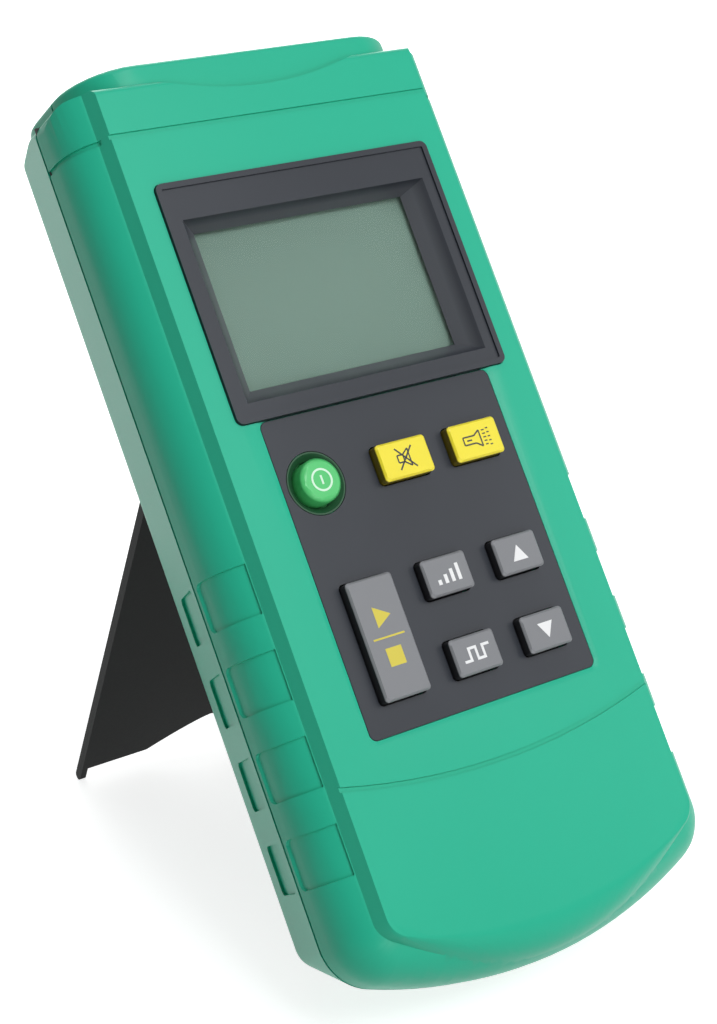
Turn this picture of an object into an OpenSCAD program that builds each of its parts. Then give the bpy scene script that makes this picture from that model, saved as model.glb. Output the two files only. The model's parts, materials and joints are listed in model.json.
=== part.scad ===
// Transmitter unit of a cable locator, leaning back on its fold-out stand.
// Every piece is drawn in the housing's own frame: x to the right, y from the
// face towards the back, z from the curved lower end up to the socket end.
// stance() then leans the finished piece back onto the open stand.

/* [Housing] */
// Width across the sides at the seam
body_w = 89; // [86:0.5:94]
// Length from the curved lower end to the top of the end block
body_l = 190; // [186:0.5:196]
// Depth from the raised face to the back
body_d = 42.5; // [41:0.5:46]
// Depth of the seam between the two shells
seam_y = 15.5; // [14.5:0.1:17]
// Thickness of the black gasket between the shells
seam_gap = 0.6; // [0.3:0.1:1]
// How far the gasket sits back from the outer skin
gasket_inset = 0.4; // [0.2:0.1:0.8]
// Wall of both shells
wall = 2.2; // [1.8:0.1:2.6]
// Radius of the curved lower end
end_r = 100; // [90:1:140]
// Corner radius of the lower end, seen from the front
corner_r = 11; // [10.5:0.5:14]
// Corner radius of the shoulders, seen from the front
shoulder_r = 3; // [1:0.5:5]
// Radius of the long front edges
front_round = 10; // [8:0.5:10.5]
// Radius of the long back edges
rear_round = 10; // [8:0.5:11]
// How far the sides draw in towards the back
rear_taper = 5.3; // [3:0.1:6.5]
// Radius of the shoulders' front rim, seen from the side
shoulder_front_r = 1.5; // [0.8:0.1:2]
// Radius of the shoulders' back rim, seen from the side
shoulder_back_r = 9; // [5:0.5:10]

/* [Face] */
// Width of the raised face
face_w = 75; // [72:0.5:78]
// Height of the raised face above the side rails
rail_drop = 1.8; // [1.2:0.1:2.4]
// Slope of the raised face's edge, sideways for each millimetre of depth
face_slope = 0.5; // [0.2:0.1:0.8]
// Distance of the raised face's lower border from the lower end
face_margin = 8.5; // [7:0.5:11]
// Radius with which the face rolls over the lower end
roll_r = 8; // [6:0.5:10]
// Gap between the rolled face and the tip of the lower end
roll_gap = 1.2; // [0.8:0.1:1.6]
// Width of the moulded grooves
groove_w = 1; // [0.6:0.1:1.6]
// Depth of the moulded grooves
groove_depth = 0.4; // [0.2:0.1:0.7]
// Height of the straight groove near the socket end
top_groove_z = 174.6; // [172:0.2:178]
// Height of the curved groove at its lowest point
low_groove_z = 38.7; // [34:0.1:42]
// Radius of the curved groove
low_groove_r = 153; // [120:1:220]

/* [End block] */
// Height of the end block above the shoulders
block_h = 4.7; // [3:0.1:7]
// Width of the end block
block_w = 78; // [74:0.5:80]
// Setback of the end block behind the raised face
block_setback = 1.7; // [1:0.1:2.5]
// Setback of the end block from the back
block_back = 4.5; // [3:0.5:8]
// Corner radius of the end block, seen from its end
block_r = 13; // [8:0.5:14]
// Rounding of the end block's rim
block_rim = 1.2; // [0.5:0.1:2]
// Depth of the curved dip in the face below the end block
scoop_depth = 3.9; // [2:0.1:6]
// Half the width of that dip
scoop_half = 24; // [18:0.5:26]

/* [Grip pads] */
// Number of sunk grip pads on each side
pad_count = 4; // [2:1:4]
// Spacing of the pads
pad_pitch = 17; // [15:0.5:19]
// Length of a pad along the housing
pad_l = 10; // [8:0.5:12]
// Height of the centre of the lowest pad
pad_first_z = 33.5; // [32:0.5:38]
// Depth of a pad
pad_depth = 0.5; // [0.3:0.1:0.7]
// Height of a front pad across the rounded edge
pad_h = 9.5; // [7:0.5:10]
// Height of a back pad
rear_pad_h = 12; // [8:0.5:14]

/* [Display] */
// Width of the display frame
bezel_w = 64.8; // [62:0.2:68]
// Lower edge of the display frame
bezel_z = 114.5; // [114:0.5:117]
// Length of the display frame
bezel_l = 49.5; // [47:0.5:51]
// Height of the display frame above the face
bezel_proud = 0.7; // [0.4:0.1:1.4]
// Depth of the display frame's flange below the face
bezel_seat = 1.7; // [1.4:0.1:2.2]
// Corner radius of the display frame
bezel_r = 1.5; // [1:0.1:3]
// Width of the display frame's raised rim
rim_w = 1.2; // [0.8:0.1:2]
// Depth of the frame's face below its rim
rim_drop = 0.4; // [0.2:0.1:0.8]
// Width of the visible display
view_w = 49.8; // [46:0.2:52]
// Height of the visible display
view_l = 33; // [30:0.2:34]
// Height of the centre of the visible display
view_z = 137.9; // [136:0.1:140]
// Width of the sloped border beside the display
slope_w = 3.9; // [2.4:0.1:4]
// Width of the sloped border above the display
slope_top = 1.8; // [1.2:0.1:3]
// Width of the sloped border below the display
slope_foot = 3.1; // [1.8:0.1:4]
// Depth of the window behind the face
window_y = 4; // [3.8:0.1:5]
// Thickness of the clear window
window_t = 1.2; // [0.8:0.1:1.3]
// Overlap of the window behind its opening
window_lap = 2; // [1:0.1:2.4]
// Thickness of the display glass
lcd_t = 1.6; // [1.2:0.1:1.7]

/* [Keypad] */
// Width of the keypad plate
panel_w = 55; // [52:0.5:57]
// Lower edge of the keypad plate
panel_z = 50.2; // [49:0.1:52]
// Thickness of the keypad plate
panel_t = 1.2; // [0.8:0.1:1.3]
// Depth of the keypad plate's face below the raised face
panel_sink = 0.5; // [0.3:0.1:0.8]
// Corner radius of the keypad plate
panel_r = 1.5; // [1:0.1:3]
// Width of the dished edge round the keypad plate
dish_w = 1.4; // [0.8:0.1:1.8]
// Distance between the columns of keys
key_pitch_x = 17.6; // [16.5:0.1:18.5]
// Height of the yellow row of keys
row_1_z = 100.3; // [99:0.1:102]
// Height of the upper grey row of keys
row_2_z = 76.1; // [75:0.1:78]
// Height of the lower grey row of keys
row_3_z = 59.9; // [59:0.1:61.5]
// Width of a grey key
key_w = 10.7; // [9:0.1:11]
// Width of a yellow key
yellow_key_w = 11.9; // [10:0.1:12.2]
// Length of a small key
key_l = 7.6; // [7:0.1:8.5]
// Height of a key above the keypad plate
key_proud = 2.4; // [2:0.1:3.4]
// Corner radius of a key
key_r = 0.8; // [0.4:0.1:1.5]
// Bevel round a key's top
key_bevel = 0.4; // [0.2:0.1:0.6]
// Travel of a key
key_travel = 1.2; // [0.8:0.1:1.2]
// Distance of the power key from the centre line
power_x = 19.9; // [19:0.1:20.2]
// Radius of the power key
power_r = 4.5; // [4:0.1:4.8]
// Outer radius of the dished ring round the power key
ring_r = 6.3; // [5.8:0.1:6.6]

/* [Stand] */
// Width of the stand
stand_w = 67; // [60:0.5:67]
// Length of the stand from its hinge to the centre of its feet
stand_l = 95.1; // [86:0.1:95.3]
// Thickness of the stand's plate
stand_t = 2.2; // [1.8:0.1:2.6]
// Height of the hinge
hinge_z = 114.3; // [114:0.1:116]
// Depth of the hinge in from the back
hinge_inset = 4.3; // [3.9:0.1:4.7]
// Opening angle of the stand
stand_open = 59.5; // [50:0.1:64]
// Radius of the hinge pin
pin_r = 1.5; // [1.2:0.1:1.6]
// Outer radius of the stand's hinge barrel
barrel_r = 2.5; // [2.3:0.1:2.8]
// Distance of the centres of the feet below the plate's lower edge
foot_drop = 3; // [1.5:0.1:4]
// Width of a foot
foot_w = 1.5; // [1.2:0.1:3]
// Length of the stand's heel above its hinge
heel_l = 3.2; // [2.6:0.1:3.6]
// Width of the arch between the feet
arch_w = 32.6; // [24:0.2:40]
// Height of the arch between the feet
arch_h = 6.1; // [5:0.1:10]

/* [End fittings] */
// Distance between the two lead sockets
socket_pitch = 19; // [18:0.5:20]
// Depth of the lead sockets behind the face
socket_y = 23.8; // [23.4:0.1:24.5]
// Radius of a socket's bore
bore_r = 2.02; // [2:0.01:2.1]
// Depth of a socket's bore
bore_l = 22; // [18:0.5:24]
// Outer radius of a socket's contact
contact_r = 2.9; // [2.6:0.1:3.1]
// Inner radius of a socket's shroud
shroud_r = 4.1; // [3.9:0.1:4.2]
// Outer radius of a socket's body
sleeve_r = 5.2; // [5:0.1:5.4]
// Radius of a socket's flange
flange_r = 6.6; // [6:0.1:6.8]
// Distance of the torch from the centre line
torch_x = 26; // [25:0.5:27]
// Radius of the torch lens
torch_r = 4.6; // [4:0.1:5]

/* [Inside] */
// Width of the circuit board
board_w = 74; // [70:0.5:76]
// Lower edge of the circuit board
board_z = 38; // [36:0.5:40]
// Upper edge of the circuit board
board_top = 160; // [156:0.5:161]
// Depth of the circuit board behind the face
board_y = 9; // [8.9:0.1:9.3]
// Thickness of the circuit board
board_t = 1.6; // [1:0.1:1.6]
// Length of the block battery
cell_l = 48.5; // [48:0.1:49]
// Width of the block battery
cell_w = 26.5; // [26:0.1:27]
// Thickness of the block battery
cell_t = 17.5; // [17:0.1:17.6]
// Height of the centre of the battery space
cell_z = 58; // [56:0.5:60]
// Distance of the case screws from the centre line
screw_x = 25; // [23.5:0.5:26]
// Height of the lower case screws
screw_low_z = 27; // [25.5:0.5:29]
// Height of the upper case screws
screw_top_z = 168; // [166:0.5:169]

/* [Hidden] */

// Clearances
fit_gap = 0.3;          // gap between pieces that pass through each other
running_gap = 0.05;     // radial gap of the stand on its pin
seat_gap = 0.02;        // radial gap of a piece pressed into its hole
slip = 1;               // how far a cutter runs past the surface that it opens
sheet = 0.01;           // thickness of the outlines that a hull spans

// Places along the housing and through its depth
shoulder_z = body_l - block_h;
front_rim_y = seam_y - seam_gap / 2;
rear_rim_y = seam_y + seam_gap / 2;
inner_y = rail_drop + wall;
back_edge = rear_taper + rear_round;
open_top = shoulder_z + corner_r + back_edge + slip;
frame_top = bezel_z + bezel_l;
frame_face_y = rim_drop - bezel_proud;
skirt_wall = 1.2;
panel_y = panel_sink;
panel_top = bezel_z - fit_gap;
panel_back = panel_y + panel_t;
window_back = window_y + window_t;
lcd_y = window_back + fit_gap / 2;

// Keys
key_top_y = panel_y - key_proud;
key_flange_t = 0.8;
key_lip = 1;
key_flange_y = inner_y + fit_gap / 2;
key_stem_r = 1.8;
key_stem_end = key_flange_y + key_flange_t + 0.9;
dome_y = key_stem_end + key_travel + fit_gap;
mat_t = 0.8;
start_l = row_2_z - row_3_z + key_l;
start_z = (row_2_z + row_3_z) / 2;
// Column, height, length and width of each rectangular key
MUTE = [0, row_1_z, key_l, yellow_key_w];
TORCH = [key_pitch_x, row_1_z, key_l, yellow_key_w];
LEVEL = [0, row_2_z, key_l, key_w];
UP = [key_pitch_x, row_2_z, key_l, key_w];
CODE = [0, row_3_z, key_l, key_w];
DOWN = [key_pitch_x, row_3_z, key_l, key_w];
START = [-key_pitch_x, start_z, start_l, key_w];
RECT_KEYS = [MUTE, TORCH, LEVEL, UP, CODE, DOWN, START];
ring_inner_r = power_r + fit_gap;
ring_t = 1.4;

// Stand and its recess in the back
stand_sink = 1.1;       // how far the closed stand lies below the back
hinge_y = body_d - hinge_inset;
stand_outer_y = body_d - stand_sink;
stand_inner_y = stand_outer_y - stand_t;
recess_floor_y = stand_inner_y - 2 * fit_gap;
recess_half = stand_w / 2 + fit_gap;
recess_top = hinge_z + norm([heel_l, stand_outer_y - hinge_y]) + fit_gap;
foot_r = stand_t / 2;
foot_y = stand_outer_y - foot_r;
recess_bottom = hinge_z - stand_l - foot_r - 2 * fit_gap;
heel_reach = norm([heel_l, hinge_y - stand_inner_y]);
pocket_y = hinge_y - max(heel_reach, barrel_r) - fit_gap;
pocket_z = hinge_z - barrel_r - fit_gap;
pin_bite = 1.5;         // length of the pin held in each side of the recess
pin_end = recess_half + pin_bite;
recess_skin = recess_floor_y - wall;

// The lean at which the lower back edge and the open feet share one floor
open_foot = [
    hinge_y + (foot_y - hinge_y) * cos(stand_open) + stand_l * sin(stand_open),
    hinge_z + (foot_y - hinge_y) * sin(stand_open) - stand_l * cos(stand_open)
];
heel_edge = [body_d - rear_round, back_edge];
reach = open_foot - heel_edge;
lean = acos((foot_r - rear_round) / norm(reach)) - atan2(reach[0], reach[1]);
floor_z = cos(lean) * heel_edge[1] - sin(lean) * heel_edge[0] - rear_round;
front_limit = sin(lean) * (roll_r + roll_gap) + cos(lean) * roll_r - roll_r;
back_limit = sin(lean) * shoulder_z + cos(lean) * body_d;

// Battery compartment
box_wall = 1.5;
cell_gap = 0.4;
door_t = 2;
door_lap = 2;
snap_t = 6;
box_half_x = cell_w / 2 + cell_gap;
box_half_z = (cell_l + snap_t) / 2 + cell_gap;
box_top = cell_z + box_half_z;
box_foot = cell_z - box_half_z;
door_y = recess_floor_y - door_t;
cell_back = door_y - cell_gap;
cell_front = cell_back - cell_t;
box_front = cell_front - cell_gap;
door_boss_r = 3.6;
door_head_t = 1.2;
door_screw_z = box_top + box_wall + door_boss_r + 0.4;
door_top = door_screw_z + door_boss_r + 1;
door_bottom = box_foot - door_lap;
door_half = box_half_x + door_lap;
cell_foot = box_foot + cell_gap;
cell_top = cell_foot + cell_l;
cell_middle_y = (cell_front + cell_back) / 2;
snap_top = cell_top + snap_t - cell_gap;
stud_pitch = 12.7;
stud_r = 3;
stud_l = 2.6;
stud_gap = 0.1;
lead_x = -8;            // the leads leave beside the door screw's boss
lead_y = cell_front + 3.5;
lead_half = 1;

// Screws
screw_r = 1.5;
screw_head_r = 2.8;
screw_head_t = 2.2;
plug_r = 3.1;
plug_t = 2;
column_r = 4.6;
screw_seat_y = rear_rim_y + 9;
screw_end_y = inner_y + 2.5;
door_screw_end = door_y - 7;
post_r = 3.6;
CASE_SCREWS = [
    [-screw_x, screw_low_z], [screw_x, screw_low_z],
    [-screw_x, screw_top_z], [screw_x, screw_top_z]
];
board_post_r = 2.6;
board_screw_r = 1;
board_screw_inset = 4;
BOARD_SCREWS = [
    for (sx = [-1, 1]) for (z = [board_z + board_screw_inset, board_top - board_screw_inset])
        [sx * (board_w / 2 - board_screw_inset), z]
];

// End fittings
SOCKET_X = [-socket_pitch / 2, socket_pitch / 2];
flange_t = 1.2;
mouth_sink = 1;
contact_mouth = body_l - mouth_sink;
bore_floor = 2.4;
contact_foot = contact_mouth - bore_l - bore_floor;
sleeve_floor = 2;
sleeve_foot = contact_foot - sleeve_floor;
shroud_floor = 5;
tail_r = 1.1;
tail_l = 4;
lens_t = 2.4;
led_r = 2.5;
led_top = body_l - lens_t - fit_gap;
led_l = 8.6;
led_pitch = 2.54;
torch_bend = 8.5;
wire_r = 0.7;
socket_joint_drop = 12;
socket_joint_z = board_top - socket_joint_drop;
torch_joint_drop = 6;
torch_joint_z = board_top - torch_joint_drop;
bend_drop = 2.2;
bend_step = 0.9;
// The torch's leads run down beside the screw column, clear of the red socket
torch_run_x = max(
    torch_x - torch_bend,
    SOCKET_X[1] + sleeve_r + fit_gap + wire_r + led_pitch / 2
);

// Stance of the whole unit on its floor
module stance() {
    translate([0, -(front_limit + back_limit) / 2, -floor_z])
        rotate([-lean, 0, 0])
            children();
}

// A flat outline in x and z, given thickness from one depth to another
module plate(from_y, to_y) {
    translate([0, to_y, 0])
        rotate([90, 0, 0])
            linear_extrude(to_y - from_y)
                children();
}

// A round bar through the depth of the housing
module bar(x, z, r, from_y, to_y, segments = 32) {
    translate([x, from_y, z])
        rotate([-90, 0, 0])
            cylinder(r = r, h = to_y - from_y, $fn = segments);
}

// A round bar along the housing
module upright(x, y, r, from_z, to_z, segments = 48) {
    translate([x, y, from_z])
        cylinder(r = r, h = to_z - from_z, $fn = segments);
}

// A round bar across the housing, centred on its middle
module crossbar(y, z, r, length, segments = 48) {
    translate([-length / 2, y, z])
        rotate([0, 90, 0])
            cylinder(r = r, h = length, $fn = segments);
}

module block(x0, x1, y0, y1, z0, z1) {
    translate([x0, y0, z0])
        cube([x1 - x0, y1 - y0, z1 - z0]);
}

module rounded_rect(w, l, r) {
    offset(r = r, $fn = 32)
        square([w - 2 * r, l - 2 * r], center = true);
}

// Outline with a curved lower end, left open at the top
module lower_outline(inset) {
    offset(delta = -inset)
        offset(r = corner_r, $fn = 64)
            offset(delta = -corner_r)
                intersection() {
                    translate([-body_w / 2, 0])
                        square([body_w, open_top]);
                    union() {
                        translate([0, end_r])
                            circle(end_r, $fn = 180);
                        translate([-body_w / 2, end_r])
                            square([body_w, open_top - end_r]);
                    }
                }
}

// Room below the shoulders: their corners are rounded as seen from the front,
// and their rim as seen from the side
module below_shoulders(skin, rim) {
    intersection() {
        plate(-slip - rim, body_d + slip + rim)
            translate([0, (shoulder_z - skin) / 2])
                rounded_rect(body_w, shoulder_z - skin, shoulder_r);
        translate([-body_w, 0, 0])
            rotate([90, 0, 90])
                linear_extrude(2 * body_w)
                    offset(r = rim, $fn = 32)
                        translate([rim, -body_w])
                            square([body_d - skin - 2 * rim, shoulder_z - skin - rim + body_w]);
    }
}

// Front half of the housing, drawn in by a skin for its cavity
module front_form(skin, steps, end_y) {
    r = front_round - skin;
    intersection() {
        hull() {
            for (a = [0:90 / steps:89])
                plate(inner_level(r, a), inner_level(r, a) + sheet)
                    lower_outline(front_round - r * sin(a));
            plate(inner_level(r, 90), end_y)
                lower_outline(skin);
        }
        below_shoulders(skin, shoulder_front_r);
    }
}
function inner_level(r, a) = rail_drop + front_round - r * cos(a);

// Back half of the housing, tapered and rounded
module rear_form(skin, steps, start_y) {
    r = rear_round - skin;
    intersection() {
        hull() {
            plate(start_y, start_y + sheet)
                lower_outline(skin);
            for (a = [0:90 / steps:90])
                plate(rear_level(r, a) - sheet, rear_level(r, a))
                    lower_outline(back_edge - r * sin(a));
        }
        below_shoulders(skin, shoulder_back_r - skin);
    }
}
function rear_level(r, a) = body_d - rear_round + r * cos(a);

// Outline of the raised face: straight sides and a curved lower border that
// dips further towards the middle as it rolls over the lower end
module face_outline(half_w, low_z) {
    side_z = face_margin + half_w * half_w / (2 * end_r) + 0.3;
    sag = side_z - low_z;
    r = (half_w * half_w + sag * sag) / (2 * sag);
    round_r = 5;
    offset(r = round_r, $fn = 48)
        offset(delta = -round_r)
            intersection() {
                translate([-half_w, 0])
                    square([2 * half_w, shoulder_z + 2 * round_r]);
                union() {
                    translate([0, low_z + r])
                        circle(r, $fn = 180);
                    translate([-half_w, low_z + r])
                        square([2 * half_w, shoulder_z + 2 * round_r]);
                }
            }
}

module raised_face() {
    intersection() {
        hull() {
            for (a = [0:15:90]) {
                y = roll_r * (1 - cos(a));
                low_z = roll_r + roll_gap - roll_r * sin(a);
                plate(y, y + sheet)
                    face_outline(face_w / 2 + face_slope * y, low_z);
            }
        }
        below_shoulders(0, shoulder_front_r);
    }
}

// Block at the socket end, with a rounded rim
module end_block() {
    hull() {
        block_level(shoulder_z - wall - 1, 0);
        for (a = [0:30:90])
            block_level(body_l - block_rim * (1 - sin(a)) - sheet, block_rim * (1 - cos(a)));
    }
}
module block_level(z, inset) {
    depth = body_d - block_back - block_setback;
    translate([0, block_setback + depth / 2, z])
        linear_extrude(sheet)
            offset(delta = -inset)
                rounded_rect(block_w, depth, block_r);
}

// Grip pads, cut square to the rounded front edge
module front_pads() {
    middle_x = body_w / 2 - (front_round - front_round * sin(45));
    middle_y = rail_drop + front_round * (1 - cos(45));
    for (side = [-1, 1]) for (i = [0:pad_count - 1])
        translate([side * (middle_x + 0.7), middle_y + 0.7, pad_first_z + i * pad_pitch])
            rotate([0, 0, side * 45])
                rotate([0, side * 90, 0])
                    translate([0, 0, -4])
                        linear_extrude(12)
                            rounded_rect(pad_l, pad_h, 1.2);
}

module rear_pads() {
    middle_y = rear_rim_y + 2.2 + rear_pad_h / 2;
    for (side = [-1, 1]) for (i = [0:pad_count - 1])
        translate([side * (body_w / 2 - 7), middle_y, pad_first_z + i * pad_pitch])
            rotate([0, side * 90, 0])
                linear_extrude(12)
                    rounded_rect(pad_l, rear_pad_h, 1.2);
}

module key_holes(grow, from_y, to_y) {
    for (k = RECT_KEYS)
        plate(from_y, to_y)
            translate([k[0], k[1]])
                rounded_rect(k[3] + 2 * grow, k[2] + 2 * grow, key_r + grow);
}

module frame_outline(grow) {
    translate([0, bezel_z + bezel_l / 2])
        rounded_rect(bezel_w + 2 * grow, bezel_l + 2 * grow, bezel_r + grow);
}

module panel_outline(grow) {
    translate([0, (panel_z + panel_top) / 2])
        rounded_rect(panel_w + 2 * grow, panel_top - panel_z + 2 * grow, panel_r + grow);
}

module window_outline() {
    translate([0, view_z])
        rounded_rect(view_w + 2 * window_lap, view_l + 2 * window_lap, 1);
}

// Opening in the shell behind the display frame
module skirt_outline(grow) {
    side = skirt_wall + grow;
    translate([0, view_z + (slope_top - slope_foot) / 2])
        rounded_rect(
            view_w + 2 * (slope_w + side),
            view_l + slope_top + slope_foot + 2 * side, bezel_r
        );
}

module scoop() {
    r = (scoop_half * scoop_half + scoop_depth * scoop_depth) / (2 * scoop_depth);
    bar(0, shoulder_z - scoop_depth + r, r, -slip, block_setback, 120);
}

module curved_groove() {
    intersection() {
        plate(-slip, groove_depth)
            translate([0, low_groove_z + low_groove_r])
                difference() {
                    circle(low_groove_r, $fn = 240);
                    circle(low_groove_r - groove_w, $fn = 240);
                }
        block(-face_w / 2 - slip, face_w / 2 + slip, -2 * slip, body_d, 0, low_groove_z + 20);
    }
}

module front_shell() {
    face_half = face_w / 2 + slip;
    color("mediumaquamarine")
    stance()
    difference() {
        union() {
            difference() {
                union() {
                    front_form(0, 9, front_rim_y);
                    intersection() {
                        union() {
                            raised_face();
                            end_block();
                        }
                        block(-body_w, body_w, -slip, front_rim_y, -slip, body_l + slip);
                    }
                }
                front_form(wall, 5, front_rim_y + slip);
            }
            for (s = CASE_SCREWS)
                bar(s[0], s[1], post_r, inner_y - 0.5, front_rim_y);
            for (s = BOARD_SCREWS)
                bar(s[0], s[1], board_post_r, inner_y - 0.5, board_y);
        }
        difference() {
            union() {
                front_pads();
                block(-body_w, body_w, -slip, body_d, top_groove_z, top_groove_z + groove_w);
            }
            front_form(pad_depth, 9, front_rim_y + slip);
            block(-face_half, face_half, -2 * slip, body_d, -slip, body_l);
        }
        block(-face_half, face_half, -slip, groove_depth, top_groove_z, top_groove_z + groove_w);
        curved_groove();
        scoop();
        hull() {
            plate(-sheet, 0)
                panel_outline(dish_w);
            plate(panel_sink, panel_sink + sheet)
                panel_outline(fit_gap);
        }
        plate(0, panel_back)
            panel_outline(fit_gap / 2);
        plate(-slip, bezel_seat)
            frame_outline(fit_gap / 2);
        plate(0, inner_y + slip)
            skirt_outline(fit_gap / 2);
        key_holes(fit_gap + 0.2, 0, inner_y + slip);
        bar(-power_x, row_1_z, ring_r + fit_gap / 2, 0, panel_y + ring_t);
        bar(-power_x, row_1_z, ring_inner_r + 0.2, 0, inner_y + slip);
        for (s = CASE_SCREWS)
            bar(s[0], s[1], screw_r + seat_gap, screw_end_y - 0.5, body_d);
        for (s = BOARD_SCREWS)
            bar(s[0], s[1], board_screw_r + seat_gap, inner_y + 0.6, body_d);
    }
}

// Space that the closed stand lies in, or the solid plastic kept round it
module recess(skin) {
    half = recess_half + skin;
    low_z = recess_bottom - skin;
    high_z = recess_top + skin;
    block(-half, half, recess_floor_y - skin, body_d + slip, low_z, high_z);
    // Deeper pocket in which the barrel and its heel turn
    block(-half, half, pocket_y - skin, body_d + slip, pocket_z - skin, high_z);
}

module rear_shell() {
    color("seagreen")
    stance()
    difference() {
        union() {
            difference() {
                union() {
                    rear_form(0, 12, rear_rim_y);
                    intersection() {
                        end_block();
                        block(-body_w, body_w, rear_rim_y, body_d, 0, body_l + slip);
                    }
                }
                difference() {
                    rear_form(wall, 6, rear_rim_y - slip);
                    recess(wall);
                }
            }
            for (s = CASE_SCREWS)
                bar(s[0], s[1], column_r, rear_rim_y, body_d - wall);
            // Battery box, the seat round its door and the door screw's boss
            block(
                -box_half_x - box_wall, box_half_x + box_wall,
                box_front - box_wall, recess_skin + slip,
                box_foot - box_wall, box_top + box_wall
            );
            block(
                -door_half - box_wall, door_half + box_wall,
                door_y - wall, recess_skin + slip,
                door_bottom - box_wall, door_top + box_wall
            );
            bar(0, door_screw_z, door_boss_r, box_front, recess_skin + slip);
        }
        difference() {
            rear_pads();
            rear_form(pad_depth, 12, rear_rim_y - slip);
        }
        recess(0);
        crossbar(hinge_y, hinge_z, pin_r + seat_gap, 2 * (pin_end + fit_gap));
        // Battery space, door seat, way out for the leads and door screw
        block(-box_half_x, box_half_x, box_front, body_d, box_foot, box_top);
        block(-door_half, door_half, door_y, body_d, door_bottom, door_top);
        block(
            lead_x - lead_half - 2 * wire_r, lead_x + lead_half + 2 * wire_r,
            lead_y - 2 * wire_r, lead_y + 2 * wire_r,
            box_top - slip, box_top + box_wall + slip
        );
        bar(0, door_screw_z, screw_r + seat_gap, door_screw_end - fit_gap, body_d);
        for (s = CASE_SCREWS) {
            bar(s[0], s[1], screw_r + fit_gap, rear_rim_y - slip, body_d);
            bar(s[0], s[1], plug_r + seat_gap, screw_seat_y, body_d + slip);
        }
        for (x = SOCKET_X) {
            upright(x, socket_y, sleeve_r + seat_gap, sleeve_foot, body_l + slip);
            upright(x, socket_y, flange_r + fit_gap / 2, body_l - flange_t, body_l + slip);
        }
        upright(torch_x, socket_y, torch_r + seat_gap, body_l - lens_t, body_l + slip);
        upright(torch_x, socket_y, led_r + fit_gap, shoulder_z - 2 * wall, body_l);
    }
}

module case_gasket() {
    color([0.05, 0.05, 0.05])
    stance()
    plate(front_rim_y, rear_rim_y)
        difference() {
            union() {
                intersection() {
                    lower_outline(gasket_inset);
                    translate([-body_w / 2, 0])
                        square([body_w, shoulder_z - gasket_inset]);
                }
                translate([0, body_l - block_w / 4 - gasket_inset])
                    rounded_rect(block_w - 2 * gasket_inset, block_w / 2, block_rim);
            }
            intersection() {
                lower_outline(wall);
                translate([-body_w / 2, 0])
                    square([body_w, shoulder_z - wall]);
            }
        }
}

// Display, from the raised frame back to the light behind the glass
module display_frame() {
    color([0.2, 0.21, 0.23])
    stance()
    difference() {
        union() {
            plate(-bezel_proud, bezel_seat)
                frame_outline(0);
            plate(bezel_seat - sheet, window_y)
                skirt_outline(0);
        }
        plate(-bezel_proud - slip, frame_face_y)
            frame_outline(-rim_w);
        hull() {
            plate(frame_face_y - sheet, frame_face_y)
                translate([0, view_z + (slope_top - slope_foot) / 2])
                    square([view_w + 2 * slope_w, view_l + slope_top + slope_foot], center = true);
            plate(window_y, window_y + sheet)
                translate([0, view_z])
                    square([view_w, view_l], center = true);
        }
    }
}

module display_window() {
    color([0.75, 0.8, 0.8, 0.4])
    stance()
    plate(window_y, window_back)
        window_outline();
}

module lcd_glass() {
    color([0.42, 0.5, 0.45])
    stance()
    plate(lcd_y, lcd_y + lcd_t)
        window_outline();
}

module lcd_backlight() {
    color("whitesmoke")
    stance()
    plate(lcd_y + lcd_t, board_y)
        window_outline();
}

// Keypad plate, ring and mat
module keypad_plate() {
    color([0.22, 0.23, 0.25])
    stance()
    difference() {
        plate(panel_y, panel_back)
            panel_outline(0);
        key_holes(fit_gap, 0, body_d);
        bar(-power_x, row_1_z, ring_r + fit_gap / 2, 0, body_d);
    }
}

module power_key_ring() {
    color([0.1, 0.14, 0.12])
    stance()
    translate([-power_x, panel_y, row_1_z])
        rotate([-90, 0, 0])
            rotate_extrude($fn = 64)
                polygon([
                    [ring_inner_r, ring_t - 0.4], [ring_r - 0.3, 0], [ring_r, 0],
                    [ring_r, ring_t], [ring_inner_r, ring_t]
                ]);
}

module keypad_mat() {
    color([0.85, 0.85, 0.82])
    stance() {
        mat_y = board_y - mat_t;
        plate(mat_y, board_y)
            panel_outline(-2);
        for (k = concat(RECT_KEYS, [[-power_x, row_1_z]]))
            bar(k[0], k[1], key_stem_r + 0.8, dome_y, mat_y);
    }
}

// Keys
module rect_key(k) {
    stance() {
        hull() {
            plate(key_top_y, key_top_y + sheet)
                translate([k[0], k[1]])
                    rounded_rect(k[3] - 2 * key_bevel, k[2] - 2 * key_bevel, key_r);
            plate(key_top_y + key_bevel, key_flange_y)
                translate([k[0], k[1]])
                    rounded_rect(k[3], k[2], key_r);
        }
        plate(key_flange_y, key_flange_y + key_flange_t)
            translate([k[0], k[1]])
                rounded_rect(k[3] + 2 * key_lip, k[2] + 2 * key_lip, key_r);
        bar(k[0], k[1], key_stem_r, key_flange_y + key_flange_t, key_stem_end);
    }
}
module power_key() {
    color([0.4, 0.85, 0.5])
    stance() {
        translate([-power_x, key_top_y, row_1_z])
            rotate([-90, 0, 0])
                rotate_extrude($fn = 64)
                    polygon([
                        [0, 0], [power_r - 2 * key_bevel, 0], [power_r, 2 * key_bevel],
                        [power_r, key_flange_y - key_top_y], [0, key_flange_y - key_top_y]
                    ]);
        bar(-power_x, row_1_z, power_r + key_lip, key_flange_y, key_flange_y + key_flange_t);
        bar(-power_x, row_1_z, key_stem_r, key_flange_y + key_flange_t, key_stem_end);
    }
}
module mute_key() { color([0.95, 0.87, 0.2]) rect_key(MUTE); }
module torch_key() { color([0.95, 0.87, 0.2]) rect_key(TORCH); }
module level_key() { color([0.43, 0.43, 0.46]) rect_key(LEVEL); }
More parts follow.
